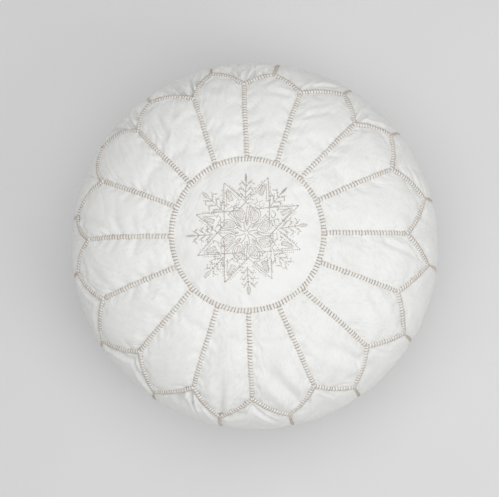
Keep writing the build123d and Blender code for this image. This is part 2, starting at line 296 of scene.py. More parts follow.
def part_of_cover(obj, material, node):
    """Gives a piece its material, hangs it under the cover's body and hides the CAD node that it stands
    for.
    """
    obj.data.materials.append(material)
    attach(obj, "cover")
    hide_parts(node)
    return obj


def edge_distance(points):
    """Distance of each point of a grid from the grid's border, measured along its rows and columns."""
    along, down = gone_along(points, 1), gone_along(points, 0)
    across = np.minimum(along, along[:, -1:] - along)
    return np.minimum(across, np.minimum(down, down[-1:] - down)), along, down


def finer(grid, times):
    """A grid with each cell split, along smooth curves through the old points."""
    for axis in (0, 1):
        g = np.moveaxis(grid, axis, 0)
        before = np.concatenate([2 * g[:1] - g[1:2], g[:-1]])
        after = np.concatenate([g[1:], 2 * g[-1:] - g[-2:-1]])
        p0, p1, p2, p3 = before[:-1], g[:-1], g[1:], after[1:]
        pieces = []
        for i in range(times):
            t = i / times
            pieces.append(0.5 * (2 * p1 + (p2 - p0) * t + (2 * p0 - 5 * p1 + 4 * p2 - p3) * t * t
                                 + (3 * p1 - p0 - 3 * p2 + p3) * t ** 3))
        split = np.stack(pieces, 1).reshape((-1,) + g.shape[1:])
        grid = np.moveaxis(np.concatenate([split, g[-1:]]), 0, axis)
    return grid


# ---- Panels: each is a grid on the form, with how loosely it is cut
def spaced(cells, gather):
    """Places from 0 to 1 that are closer together at both ends, where the seams are."""
    w = np.linspace(0, 1, cells + 1)
    return w - gather * np.sin(2 * pi * w)


def along_line(line, places):
    """Points at places from 0 to 1 along a line of evenly numbered points in plan."""
    return read_off(places, np.linspace(0, 1, len(line)), line)


def petal_grid(k):
    after = (k + 1) % PETALS
    start, end = ring_angles[k], ring_angles[after] + (360 if after == 0 else 0)
    u = spaced(ACROSS, GATHER_ACROSS)
    inner = np.array([polar(MEDALLION_RADIUS, a) for a in start + (end - start) * u])
    first, second = half_arches(k, ARCH_CELLS)
    outer = along_line(np.concatenate([first, second[1:]]), u)
    v = spaced(PETAL_ROWS, PETAL_GATHER)[:, None, None]
    plan = inner * (1 - v) + outer * v
    return np.arctan2(plan[..., 1], plan[..., 0]), down_to(np.hypot(plan[..., 0], plan[..., 1]))


def side_grid(k):
    before = (k - 1) % PETALS
    top = np.concatenate([half_arches(before, ARCH_CELLS)[1], half_arches(k, ARCH_CELLS)[0][1:]])
    top = along_line(top, spaced(ACROSS, GATHER_ACROSS))
    angle = np.arctan2(top[:, 1], top[:, 0])
    length = down_to(np.hypot(top[:, 0], top[:, 1]))
    v = spaced(SIDE_ROWS, SIDE_GATHER)[:, None]
    return np.broadcast_to(angle, (SIDE_ROWS + 1, ACROSS + 1)), length * (1 - v) + BASE_LENGTH * v


def disc_grid():
    a = 2 * spaced(DISC_CELLS, DISC_GATHER) - 1
    a, b = np.meshgrid(a, a)
    x, y = a * np.sqrt(1 - b * b / 2), b * np.sqrt(1 - a * a / 2)
    return np.arctan2(y, x), down_to(np.hypot(x, y) * MEDALLION_RADIUS)


class Panel:
    def __init__(self, node, grid, crown, looseness, flip):
        self.node, self.looseness, self.flip = node, looseness, flip
        self.angle, self.length = grid
        self.form, self.normal = cover(self.angle, self.length)
        self.edge, self.along, self.down = edge_distance(self.form)
        lift = crown * (1 - np.exp(-self.edge / CROWN_REACH)) - SEAM_SINK * np.exp(-self.edge / SINK_REACH)
        self.start = self.form + self.normal * lift[..., None]
        self.result = self.start


panels = [Panel("medallion", disc_grid(), MEDALLION_CROWN, MEDALLION_LOOSE, False)]
for k in range(PETALS):
    panels.append(Panel(f"petal_{k + 1:02d}", petal_grid(k), PETAL_CROWN, PETAL_LOOSE, True))
for k in range(PETALS):
    node = f"side_panel_{k + 1:02d}"
    panel = Panel(node, side_grid(k), 0, CRUMPLED_LOOSE if node in CRUMPLED else SIDE_LOOSE, True)
    u, v = spaced(ACROSS, GATHER_ACROSS), spaced(SIDE_ROWS, SIDE_GATHER)
    flat = SIDE_FLATNESS * 4 * u * (1 - u) * np.sin(0.25 + (pi - 0.25) * v)[:, None]
    panel.start = panel.start - panel.normal * flat[..., None]
    panels.append(panel)


def stuff(panels):
    """Cloth simulation: each panel, a little larger than its place, is pressed out by the filling."""
    points, faces, pinned, first = [], [], [], 0
    for panel in panels:
        rows, columns = panel.angle.shape
        points.append(panel.start.reshape(-1, 3))
        faces.append(grid_faces(rows - 1, columns - 1, first, panel.flip))
        held = panel.edge < SEAM_ALLOWANCE
        held[[0, -1]] = held[:, [0, -1]] = True
        pinned.append(first + np.flatnonzero(held))
        first += rows * columns
    obj = add_object("leather_before_stuffing", np.concatenate(points), np.concatenate(faces))
    pin = obj.vertex_groups.new(name="sewn")
    pin.add([int(i) for i in np.concatenate(pinned)], 1, "REPLACE")
    taut = obj.vertex_groups.new(name="taut")
    first = 0
    for panel in panels:
        count = panel.angle.size
        taut.add(list(range(first, first + count)), 1 - panel.looseness, "REPLACE")
        first += count
    cloth = obj.modifiers.new("Stuffed", "CLOTH")
    settings = cloth.settings
    for key, value in CLOTH.items():
        setattr(settings, key, value)
    settings.effector_weights.gravity = 0
    cloth.point_cache.frame_start, cloth.point_cache.frame_end = 1, STUFFING_STEPS
    for step in range(1, STUFFING_STEPS + 1):
        bpy.context.scene.frame_set(step)
    shape = obj.evaluated_get(bpy.context.evaluated_depsgraph_get()).to_mesh()
    got = np.empty(len(shape.vertices) * 3)
    shape.vertices.foreach_get("co", got)
    bpy.context.scene.frame_set(1)
    bpy.data.objects.remove(obj)
    got, first = got.reshape(-1, 3), 0
    for panel in panels:
        count = panel.angle.size
        moved = got[first:first + count].reshape(panel.start.shape)
        out = ((moved - panel.form) * panel.normal).sum(-1)
        capped = np.clip(out, -PULL_IN, PUFF_OUT)
        panel.result = moved + panel.normal * (capped - out)[..., None]
        first += count


stuff(panels)


# ---- Creases and folds that are finer than the simulation
def creases(kind, u, v, seed, turn=0.0):
    """Long shallow creases, in patches: ridged noise, stretched along one direction."""
    depth, size, stretch, direction = kind
    c, s = cos(turn + direction), sin(turn + direction)
    a, b = (u * c + v * s) / (size * stretch), (v * c - u * s) / size
    places = list(zip(a.ravel(), b.ravel()))
    ridges = np.array([1 - abs(noise.noise((x, y, seed))) * 2.2 for x, y in places])
    patches = np.array([0.5 + 2.0 * noise.noise((0.5 * x, 0.3 * y, seed + 7)) for x, y in places])
    return depth * (np.clip(ridges, 0, 1) ** 3 * np.clip(patches, 0, 1)).reshape(u.shape)


# Folds, listed one by one.  Each runs from one place to another, given in hundredths of the panel (across
# from its clockwise side, and down or outwards), with its depth and width in millimetres.
SIDE_FOLDS = {
    1: [(42, 2, 58, 18, 2.5, 5), (75, 2, 62, 14, 1.5, 5)],
    2: [(35, 0, 75, 12, 1.6, 2.5), (50, 0, 85, 10, 1.6, 2.5), (20, 3, 60, 14, 1.6, 2.5),
        (10, 6, 45, 16, 1.3, 2.5)],
    3: [(50, 0, 55, 14, 4, 4), (40, 2, 10, 5, 3, 5), (62, 2, 78, 12, 2, 3.5)],
    4: [(48, 0, 38, 12, 3.5, 4), (38, 5, 12, 8, 3, 4.5), (60, 0, 80, 12, 2, 5)],
    5: [(50, 0, 30, 15, 6, 3.5), (52, 0, 62, 14, 6, 3.5), (60, 2, 88, 10, 4, 3.5),
        (35, 3, 12, 12, 5, 4)],
    6: [(42, 0, 30, 16, 7, 4), (55, 0, 60, 18, 7, 4), (68, 2, 80, 16, 5, 3.5), (25, 4, 10, 14, 5, 4)],
    7: [(48, 0, 40, 18, 6.5, 4), (60, 1, 72, 16, 5, 3.5), (30, 4, 22, 16, 5, 3.5)],
    8: [(50, 0, 42, 16, 2.5, 4)],
    10: [(15, 2, 85, 6, 3, 6)],
    11: [(10, 2, 62, 9, 4, 5), (90, 2, 55, 9, 3.5, 5)],
    12: [(50, 0, 64, 15, 7, 3.5), (42, 1, 15, 12, 3.5, 6), (70, 2, 95, 7, 2, 4)],
    13: [(15, 3, 60, 10, 2.5, 5), (48, 5, 82, 12, 3.5, 5)],
    14: [(48, 0, 72, 9, 2.5, 3.5), (35, 2, 15, 10, 1.5, 5)],
    15: [(50, 0, 65, 12, 1.8, 5)],
}
PETAL_FOLDS = {
    2: [(85, 96, 70, 72, 1.8, 5)],
    3: [(70, 58, 35, 75, 1.3, 5)],
    4: [(45, 98, 64, 82, 2.2, 4), (20, 80, 62, 74, 1.3, 4.5)],
    5: [(45, 75, 70, 95, 1.5, 7)],
    6: [(67, 52, 57, 85, 3, 5), (35, 70, 45, 95, 1.8, 6)],
    8: [(58, 98, 70, 62, 2.4, 5)],
    9: [(70, 75, 20, 90, 1.5, 8)],
    12: [(50, 98, 42, 55, 3.5, 6.5)],
    13: [(66, 88, 20, 50, 4, 8), (75, 50, 85, 80, 1.5, 8)],
    14: [(75, 88, 36, 43, 3.5, 8)],
    15: [(70, 62, 35, 92, 2, 9)],
    16: [(35, 18, 22, 55, 1.5, 6), (80, 60, 55, 95, 2.2, 6)],
}
FOLDS = {f"side_panel_{k:02d}": folds for k, folds in SIDE_FOLDS.items()}
FOLDS |= {f"petal_{k:02d}": folds for k, folds in PETAL_FOLDS.items()}


def fold_field(panel, u, v, along, down):
    def spot(across, outwards):
        at = (min(np.searchsorted(v[:, 0], outwards / 100), len(v) - 1),
              np.searchsorted(u[0], across / 100))
        return np.array([along[at], down[at]])

    total = np.zeros(u.shape)
    for u0, v0, u1, v1, depth, width in FOLDS.get(panel.node, ()):
        start = spot(u0, v0)
        line = spot(u1, v1) - start
        rel_a, rel_d = along - start[0], down - start[1]
        t = np.clip((rel_a * line[0] + rel_d * line[1]) / np.linalg.norm(line) ** 2, 0, 1)
        miss = np.hypot(rel_a - t * line[0], rel_d - t * line[1]) / (width * MM)
        fade = np.cos(0.5 * pi * t) ** 0.7
        total += depth * MM * fade * (np.exp(-miss ** 2) - 0.5 * np.exp(-(miss - 2.2) ** 2))
    return total


def leather_piece(panel, material, index):
    fine = finer(panel.result, FINER)
    normal = unit(finer(panel.normal, FINER))
    edge, along, down = edge_distance(fine)
    rows, columns = edge.shape
    u = np.broadcast_to(along.mean(0) / along.mean(0)[-1], edge.shape)
    v = np.broadcast_to((down.mean(1) / down.mean(1)[-1])[:, None], edge.shape)
    turn = rng.uniform(0.9, 1.9)
    inner = 1 - np.exp(-edge / SMOOTH_BORDER)
    lift = -creases(LONG_CREASE, along, down, index * 3.7, turn) * inner
    lift -= creases(FINE_CREASE, along, down, index * 3.7 + 50, turn) * inner
    if panel.node in CRUMPLED:
        top = np.exp(-down / CRUMPLE_REACH) * (1 - np.exp(-edge / CRUMPLE_BORDER))
        lift -= creases(CRUMPLE, along, down, index * 1.9) * top
    lift -= creases(GATHERS, along + down, 0.3 * edge, index * 5.1) * np.exp(-edge / GATHER_REACH) * inner
    lift -= creases(PULLS, along, down, index * 2.3 + 20, turn) * inner * (0.3 + 0.7 * v * v)
    lift -= fold_field(panel, u, v, along, down) * inner
    fine = fine + normal * lift[..., None]
    turn = rng.uniform(0, 2 * pi)
    a, d = along / UV_UNIT, down / UV_UNIT
    uvs = as_rows(a * cos(turn) - d * sin(turn) + index * 1.37,
                  a * sin(turn) + d * cos(turn) + index * 0.61)
    obj = add_object(panel.node + "_leather", fine.reshape(-1, 3),
                     grid_faces(rows - 1, columns - 1, 0, panel.flip), uvs)
    thicken(obj)
    return part_of_cover(obj, material, panel.node)


# ---- Materials
class Shade:
    """A small helper that adds nodes and joins them."""

    def __init__(self, name):
        self.material = bpy.data.materials.new(name)
        self.material.use_nodes = True
        self.tree = self.material.node_tree
        self.surface = self.tree.nodes["Principled BSDF"]

    def node(self, kind, values=None, **links):
        made = self.tree.nodes.new(kind)
        for key, value in (values or {}).items():
            if hasattr(made, key):
                setattr(made, key, value)
            else:
                made.inputs[key].default_value = value
        for key, source in links.items():
            self.tree.links.new(source, made.inputs[key.replace("_", " ")])
        return made

    def clouds(self, place, scale, detail, roughness=0.5):
        values = {"Scale": scale, "Detail": detail, "Roughness": roughness}
        return self.node("ShaderNodeTexNoise", values, Vector=place)

    def object_place(self):
        return self.node("ShaderNodeTexCoord").outputs["Object"]

    def set(self, **values):
        for key, value in values.items():
            self.surface.inputs[key.replace("_", " ")].default_value = value

    def join(self, source, socket):
        self.tree.links.new(source, self.surface.inputs[socket])

    def ramp(self, source, stops):
        made = self.node("ShaderNodeValToRGB", Fac=source)
        elements = made.color_ramp.elements
        while len(elements) < len(stops):
            elements.new(0.5)
        for element, (place, colour) in zip(elements, stops):
            element.position, element.color = place, (*colour, 1)
        return made.outputs["Color"]

    def times(self, first, second, amount):
        """One colour multiplied by another, as far as the amount says."""
        made = self.node("ShaderNodeMix", {"data_type": "RGBA", "blend_type": "MULTIPLY"})
        self.tree.links.new(first, made.inputs[6])
        self.tree.links.new(second, made.inputs[7])
        made.inputs[0].default_value = amount
        return made.outputs[2]

    def maths(self, operation, first, second):
        made = self.node("ShaderNodeMath", {"operation": operation})
        self.tree.links.new(first, made.inputs[0])
        self.tree.links.new(second, made.inputs[1])
        return made.outputs[0]

    def remap(self, source, **limits):
        values = {key.replace("_", " "): value for key, value in limits.items()}
        return self.node("ShaderNodeMapRange", values, Value=source).outputs["Result"]

    def bump(self, height, distance, strength=1.0, normal=None):
        made = self.node("ShaderNodeBump", {"Distance": distance, "Strength": strength}, Height=height)
        if normal is not None:
            self.tree.links.new(normal, made.inputs["Normal"])
        return made.outputs["Normal"]

    def scaled(self, source, scale):
        made = self.node("ShaderNodeMapping", {"Scale": scale})
        self.tree.links.new(source, made.inputs["Vector"])
        return made.outputs["Vector"]


def leather_material(name, wear_and_crease_shade):
    """White leather; its second argument scales the streaks and wrinkles, and the shade painted along the
    wrinkle lines.
    """
    s = Shade(name)
    place = s.node("ShaderNodeUVMap", {"uv_map": "panel"}).outputs["UV"]
    patches = s.clouds(place, 3.0, 3.0)
    tone = s.ramp(patches.outputs["Fac"], [(0.3, (0.775, 0.772, 0.76)), (0.5, (0.81, 0.81, 0.80)),
                                           (0.72, (0.835, 0.836, 0.83))])
    streaks = s.clouds(s.scaled(place, (1.0, 4.5, 1.0)), 9.0, 6.0, 0.65)
    bent = s.clouds(place, 4.0, 3.0)
    drawn = s.node("ShaderNodeMix", {"data_type": "VECTOR"})
    drawn.inputs[0].default_value = 0.2
    s.tree.links.new(place, drawn.inputs[4])
    s.tree.links.new(bent.outputs["Color"], drawn.inputs[5])
    cells = s.node("ShaderNodeTexVoronoi", {"Scale": 7.0, "feature": "DISTANCE_TO_EDGE"},
                   Vector=s.scaled(drawn.outputs[1], (1.0, 2.6, 1.0)))
    wrinkle = s.maths("MAXIMUM", s.remap(cells.outputs["Distance"], From_Min=0.0, From_Max=0.05),
                      s.remap(streaks.outputs["Fac"], From_Min=0.34, From_Max=0.50))
    # Painted shade: the colour is darker along the wrinkle lines, where the bump carves the creases.
    crease_shade = s.ramp(wrinkle, [(0.0, (0.965, 0.96, 0.95)), (0.7, (1, 1, 1))])
    streaked = s.ramp(streaks.outputs["Fac"], [(0.35, (0.945, 0.945, 0.94)), (0.62, (1, 1, 1))])
    aged = s.times(tone, streaked, 0.6 * wear_and_crease_shade)
    s.join(s.times(aged, crease_shade, 0.3 * wear_and_crease_shade), "Base Color")
    s.join(s.remap(patches.outputs["Fac"], To_Min=0.42, To_Max=0.62), "Roughness")
    grain = s.node("ShaderNodeTexVoronoi", {"Scale": 85.0, "feature": "SMOOTH_F1"}, Vector=place)
    pores = s.clouds(place, 60.0, 5.0)
    normal = s.bump(grain.outputs["Distance"], 0.0003, 0.3)
    normal = s.bump(pores.outputs["Fac"], 0.0003, 0.3, normal)
    normal = s.bump(wrinkle, 0.0006, 0.35 * wear_and_crease_shade, normal)
    normal = s.bump(streaks.outputs["Fac"], 0.0011, 0.5 * wear_and_crease_shade, normal)
    s.join(normal, "Normal")
    s.set(Specular_IOR_Level=0.35, Sheen_Weight=0.08)
    return s.material


def thread_material(name, dark, light):
    s = Shade(name)
    place = s.node("ShaderNodeUVMap", {"uv_map": "panel"}).outputs["UV"]
    twist = s.node("ShaderNodeTexWave", {"Scale": 1.0, "wave_type": "BANDS", "bands_direction": "DIAGONAL"},
                   Vector=place)
    fibre = s.clouds(place, 5.0, 4.0)
    soil = s.clouds(s.object_place(), 45.0, 2.0)
    tone = s.ramp(soil.outputs["Fac"], [(0.35, dark), (0.65, light)])
    lines = s.ramp(twist.outputs["Fac"], [(0.0, (0.80, 0.78, 0.76)), (0.45, (1, 1, 1))])
    s.join(s.times(tone, lines, 0.6), "Base Color")
    normal = s.bump(twist.outputs["Fac"], 0.0002, 0.6)
    s.join(s.bump(fibre.outputs["Fac"], 0.0001, 0.5, normal), "Normal")
    s.set(Roughness=0.75, Sheen_Weight=0.15)
    return s.material


def woven_material():
    s = Shade("zip_tape_weave")
    place = s.object_place()
    warp = s.node("ShaderNodeTexWave", {"Scale": 320.0, "bands_direction": "X"}, Vector=place)
    weft = s.node("ShaderNodeTexWave", {"Scale": 260.0, "bands_direction": "Y"}, Vector=place)
    weave = s.maths("MULTIPLY", warp.outputs["Fac"], weft.outputs["Fac"])
    s.join(s.ramp(weave, [(0.0, (0.58, 0.56, 0.51)), (0.6, (0.80, 0.78, 0.73))]), "Base Color")
    s.join(s.bump(weave, 0.0003, 0.7), "Normal")
    s.set(Roughness=0.85)
    return s.material


def plain_material(name, low, high, roughness, metallic=0.0, scale=60.0, bump=0.0001):
    """A moulded or plated surface with faint mottling and scratches."""
    s = Shade(name)
    place = s.object_place()
    mottle = s.clouds(place, scale, 6.0)
    scratch = s.clouds(s.scaled(place, (1.0, 6.0, 1.0)), scale * 8, 3.0)
    s.join(s.ramp(mottle.outputs["Fac"], [(0.35, low), (0.65, high)]), "Base Color")
    s.join(s.remap(scratch.outputs["Fac"], To_Min=roughness, To_Max=roughness + 0.2), "Roughness")
    s.join(s.bump(scratch.outputs["Fac"], bump, 0.4), "Normal")
    s.set(Metallic=metallic)
    return s.material


leather = leather_material("white_leather", 1.0)
smooth_leather = leather_material("medallion_leather", 0.35)
seam_thread = thread_material("seam_thread", (0.48, 0.415, 0.35), (0.62, 0.555, 0.48))
embroidery_thread = thread_material("embroidery_thread", (0.49, 0.45, 0.41), (0.63, 0.585, 0.54))
pale_thread = thread_material("pale_thread", (0.84, 0.79, 0.75), (0.88, 0.85, 0.82))
tape_weave = woven_material()
zip_plastic = plain_material("zip_plastic", (0.66, 0.64, 0.58), (0.72, 0.70, 0.64), 0.35)
nickel = plain_material("zip_nickel", (0.46, 0.45, 0.43), (0.58, 0.57, 0.55), 0.22, 1.0)
wadding = plain_material("cotton_wadding", (0.68, 0.66, 0.60), (0.80, 0.78, 0.73), 0.8, 0.0, 40.0, 0.002)

leather_pieces = [leather_piece(panel, smooth_leather if panel.node == "medallion" else leather, index)
                  for index, panel in enumerate(panels)]


# ---- Thread and ribs
class Strands:
    """Collects many thin tubes into one mesh."""

    def __init__(self):
        self.points, self.faces, self.uvs, self.count = [], [], [], 0

    def tube(self, path, radii, sides=6, flat=1.0, up=None):
        path = np.asarray(path, float)
        tangent = np.gradient(path, axis=0)
        tangent /= np.linalg.norm(tangent, axis=1, keepdims=True) + 1e-12
        guide = np.array([0.0, 0.0, 1.0]) if up is None else np.asarray(up, float)
        side = np.cross(tangent, guide)
        length = np.linalg.norm(side, axis=1, keepdims=True)
        side = np.where(length > 1e-6, side / np.maximum(length, 1e-9), [1.0, 0.0, 0.0])
        rise = np.cross(side, tangent)
        turn = np.arange(sides) * 2 * pi / sides
        radii = np.asarray(radii, float)[:, None, None]
        ring = np.cos(turn)[None, :, None] * side[:, None] \
            + flat * np.sin(turn)[None, :, None] * rise[:, None]
        rows = path[:, None] + ring * radii
        gone = gone_along(path) / MM
        first, steps = self.count, len(path)
        self.points.append(rows.reshape(-1, 3))
        self.uvs.append(as_rows(turn[None, :] / pi, gone[:, None]))
        self.faces += tube_faces(steps, sides, first).tolist() + tube_ends(steps, sides, first)
        self.count += steps * sides

    def piece(self, name, material, node, slot):
        obj = add_object(name, np.concatenate(self.points), self.faces, np.concatenate(self.uvs))
        return part_of_cover(obj, material, node)


def resample(points, normals, step):
    """Points at equal distances along a path, with normal and direction at each."""
    gone = gone_along(points)
    count = max(2, int(round(gone[-1] / step)))
    at = np.linspace(0, gone[-1], count + 1)
    p = read_off(at, gone, points)
    return p, unit(read_off(at, gone, normals)), unit(np.gradient(p, axis=0))


def plan_path(plan, sink=SEAM_SINK):
    """A seam drawn in plan on the crown."""
    return cover(np.arctan2(plan[:, 1], plan[:, 0]), down_to(np.hypot(plan[:, 0], plan[:, 1])), -sink)


def sew(paths, node, name, rib_scale=1.0):
    """The folded leather rib along each path, and the hand stitches that cross it."""
    ribs, stitches = Strands(), Strands()
    half, height = RIB_HALF_WIDTH * rib_scale, RIB_HEIGHT * rib_scale
    for points, normals in paths:
        p, n, t = resample(points, normals, RIB_STEP)
        wobble = np.array([noise.noise(Vector(q) * WANDERS_PER_M) for q in p]) * WANDER
        side = np.cross(n, t)
        body = p + side * wobble[:, None] + n * height * 0.05
        rib_tube(ribs, body, side, n, half, height)
        p, n, t = resample(points, normals, STITCH_PITCH)
        side = np.cross(n, t)
        for i in range(len(p) - 1):
            drift = noise.noise(Vector(p[i]) * WANDERS_PER_M) * WANDER / MM + rng.uniform(-0.15, 0.15)
            middle = (p[i] + p[i + 1]) / 2 + t[i] * rng.uniform(-0.35, 0.35) * MM + side[i] * drift * MM
            lean = 0.45 * noise.noise(Vector(p[i]) * LEANS_PER_M + Vector((9, 0, 0)))
            lean += rng.uniform(-0.10, 0.10)
            over = side[i] * cos(lean) + t[i] * sin(lean)
            reach = half * rng.uniform(1.05, 1.25)
            turns = np.linspace(-1, 1, 9)
            arch = np.sqrt(np.clip(1 - turns ** 2 * 0.97, 0, 1))
            path = middle + over * (turns * reach)[:, None] \
                + n[i] * (arch * (height + 0.35 * THREAD) - 0.5 * MM * (1 - arch))[:, None]
            radii = THREAD * rng.uniform(0.9, 1.1) * (0.7 + 0.3 * arch)
            stitches.tube(path, radii, 6, 1.0, n[i])
    rib = ribs.piece(name + "_rib", leather, node, "white_leather")
    thread = stitches.piece(name + "_stitches", seam_thread, node, "seam_thread")
    return rib, thread


def rib_tube(ribs, body, side, up, half, height):
    """A strip with a round back, flat underneath."""
    turn = np.linspace(0, pi, 9)
    ring = np.concatenate([np.stack([np.cos(turn), np.sin(turn)], 1), [[-0.7, -0.35], [0.7, -0.35]]])
    rows = body[:, None] + side[:, None] * (ring[:, 0] * half)[None, :, None] \
        + up[:, None] * (ring[:, 1] * height)[None, :, None]
    sides, steps, first = len(ring), len(body), ribs.count
    gone = gone_along(body) / UV_UNIT
    ribs.points.append(rows.reshape(-1, 3))
    ribs.uvs.append(as_rows(np.arange(sides)[None, :] * 0.005, gone[:, None]) + rng.uniform(0, 9))
    ribs.faces += tube_faces(steps, sides, first).tolist() + tube_ends(steps, sides, first)
    ribs.count += steps * sides


def circle_path(length, count=720):
    angle = np.linspace(0, 2 * pi, count + 1)
    return cover(angle, np.full(angle.shape, length), -SEAM_SINK)


sew([circle_path(float(down_to(MEDALLION_RADIUS)))], "medallion_ring_stitching", "medallion_ring", 1.12)
spokes = []
for k in range(PETALS):
    inner = polar(MEDALLION_RADIUS + 2 * MM, ring_angles[k])
    outer = valleys[k] * (1 - 2 * MM / hypot(*valleys[k]))
    spokes.append(plan_path(inner + (outer - inner) * np.linspace(0, 1, 60)[:, None]))
sew(spokes, "petal_seam_stitching", "petal_seam")
arches = []
for k in range(PETALS):
    arches += [plan_path(half, 0.6 * SEAM_SINK) for half in half_arches(k, 40)]
sew(arches, "scallop_stitching", "scallop")
side_paths = []
for k in range(PETALS):
    start = float(down_to((TIP_RADIUS + TIP_OUT[k] + 2) * MM))
    length = np.linspace(start, BASE_LENGTH - 2 * MM, 200)
    side_paths.append(cover(np.full(200, radians(tip_angles[k])), length, -1.4 * SEAM_SINK))
sew(side_paths, "side_seam_stitching", "side_seam", 0.72)
sew([circle_path(BASE_LENGTH)], "base_ring_stitching", "base_ring", 0.9)


def under_to(radius):
    """Length from the top's centre, down the outside, to a radius on the underside."""
    return np.interp(-radius, -OUT[CROWN_END:], LENGTH[CROWN_END:])


centre_seams = []
for angle in (0, pi):
    length = under_to(np.linspace(*CENTRE_SEAM, 12))
    centre_seams.append(cover(np.full(12, angle), length, -SEAM_SINK))
sew(centre_seams, "base_centre_stitching", "base_centre_seam", 0.8)


# ---- Embroidery on the medallion
medallion = leather_pieces[0].data
medallion_tree = BVHTree.FromPolygons([v.co for v in medallion.vertices],
                                      [list(f.vertices) for f in medallion.polygons])


def on_medallion(plan, lift):
    """Points in plan, laid on the medallion's leather."""
    laid = []
    for (x, y), above in zip(plan, lift):
        hit, normal = medallion_tree.ray_cast(Vector((x, y, HEIGHT + 0.1)), Vector((0, 0, -1)))[:2]
        laid.append(hit + normal * above)
    return np.array(laid)


def wavered(plan):
    """A line drawn by hand: it strays a little from where it was meant to go."""
    stray = [noise.noise_vector(Vector((x, y, 0)) * STRAYS_PER_M) for x, y in plan]
    return plan + np.array([[w.x, w.y] for w in stray]) * STRAY


def running_stitch(strands, plan, stitch=3.4 * MM, gap=0.5 * MM, floss=FLOSS):
    """A line of stitches in plan.  Each one goes down into the leather at its ends."""
    plan = np.asarray(plan, float)
    knots = np.arange(len(plan))
    fine = np.linspace(0, len(plan) - 1, 12 * len(plan))
    plan = wavered(read_off(fine, knots, plan))
    gone = gone_along(plan)
    count = max(1, round(gone[-1] / (stitch + gap)))
    pitch = gone[-1] / count
    for i in range(count):
        slack = rng.uniform(-0.3, 0.3) * gap
        at = np.linspace(i * pitch + gap / 2 + slack, (i + 1) * pitch - gap / 2 + slack, 6)
        shift = rng.uniform(-0.15, 0.15) * MM
        line = read_off(at, gone, plan) + shift
        arch = np.array([-0.6, 0.45, 0.8, 0.8, 0.45, -0.6])
        strands.tube(on_medallion(line, arch * floss), floss * (0.85 + 0.15 * arch), 6)


def satin_stitch(strands, left, right, floss=FLOSS):
    """Stitches side by side that fill the space between two lines."""
    left, right = np.asarray(left, float), np.asarray(right, float)
    length = max(gone_along(left)[-1], gone_along(right)[-1])
    count = max(2, round(length / (1.7 * floss)))
    at = np.linspace(0, len(left) - 1, count)
    knots = np.arange(len(left))
    for t in at:
        a, b = read_off(t, knots, left), read_off(t, knots, right)
        a = a + (b - a) * rng.uniform(-0.03, 0.03)
        line = a + (b - a) * np.linspace(0, 1, 6)[:, None]
        arch = np.array([-0.6, 0.3, 0.5, 0.5, 0.3, -0.6])
        strands.tube(on_medallion(line, arch * floss), np.full(6, floss * 1.05), 6, 0.6)


def turned(points, degrees):
    """Points given as (outwards, sideways) in millimetres, on a ray at an angle."""
    c, s = cos(radians(degrees)), sin(radians(degrees))
    return [((x * c - y * s) * MM, (x * s + y * c) * MM) for x, y in points]


def sew_line(points, degrees, **style):
    running_stitch(outlines, turned(points, degrees), **style)


def fill_shape(strands, halves, degrees):
    """Satin stitch between a line of (out, half width) points and its mirror image."""
    satin_stitch(strands, turned([(out, -half) for out, half in halves], degrees), turned(halves, degrees))


outlines, fills = Strands(), Strands()
star_angles = [STAR_TURN + k * 360 / STAR_POINTS + STAR_LEAN[k] for k in range(STAR_POINTS)]
star_tips = [polar(STAR_REACH + STAR_OUT[k] * MM, star_angles[k]) for k in range(STAR_POINTS)]
for k in range(STAR_POINTS):
    start, end = star_tips[k], star_tips[(k + 3) % STAR_POINTS]
    for tip, part in ((k, np.linspace(0, 0.42, 20)), ((k + 3) % STAR_POINTS, np.linspace(0.58, 1, 20))):
        style = KNOTTED if tip in KNOTTED_TIPS else {}
        running_stitch(outlines, start + (end - start) * part[:, None], **style)
    reach = STAR_REACH / MM + STAR_OUT[k]
    for side in (-1, 1):
        inner_line = [(reach - 9, 0.6 * side), (reach - 29, 8.8 * side)]
        sew_line(inner_line, star_angles[k], floss=THIN)
        dots = [(reach - 6, 5.0 * side), (reach - 28, 14.0 * side)]
        sew_line(dots, star_angles[k], stitch=1.0 * MM, gap=1.9 * MM, floss=0.5 * MM)
        deep = [(reach - 31, 5.0 * side), (reach - 35, 1.0 * side), (reach - 39, 4.0 * side)]
        sew_line(deep, star_angles[k], stitch=2.2 * MM, floss=THIN)
    block = reach - 19
    fill_shape(fills, [(block - 5.5, 2.2), (block + 5.5, 1.8)], star_angles[k] + 1)
    frame_line = [(block - 6.5, -2.9), (block + 6.5, -2.4), (block + 6.5, 2.4), (block - 6.5, 2.9),
                  (block - 6.5, -2.9)]
    sew_line(frame_line, star_angles[k] + 1, floss=THINNEST)

for k, angle in enumerate(FERN_ANGLES):
    style = KNOTTED if k in KNOTTED_FERNS else {}
    sew_line([(43, 0), (69, 0)], angle, **style)
    if not style:
        bud = [(69, 0.6), (71.5, 1.5), (75, 1.5), (79, 0.5)]
        fill_shape(fills if k in PALE_BUDS else outlines, bud, angle)
        if k in PALE_BUDS:
            rim = [(out, half + 0.6) for out, half in bud] + [(out, -half - 0.6) for out, half in bud[::-1]]
            sew_line(rim, angle, stitch=1.6 * MM, gap=0.6 * MM, floss=THINNEST)
    style = KNOTTED if k in KNOTTED_LEAVES else {}
    for out in (46, 54, 62):
        for side in (-1, 1):
            spread = rng.uniform(0.75, 1.1)
            leaf = [(out, 0.6 * side), (out + 6.0, 7.0 * side * spread), (out + 2.0, 11.0 * side * spread)]
            sew_line(leaf, angle, **style)
            tick = [(out + 3.5, 2.6 * side), (out + 9, 8.5 * side * spread)]
            sew_line(tick, angle, stitch=1.2 * MM, gap=1.4 * MM, floss=0.5 * MM)
            dots = [(out - 2, 5.5 * side), (out - 3, 13.0 * side * spread)]
            sew_line(dots, angle, stitch=0.9 * MM, gap=2.0 * MM, floss=0.5 * MM)

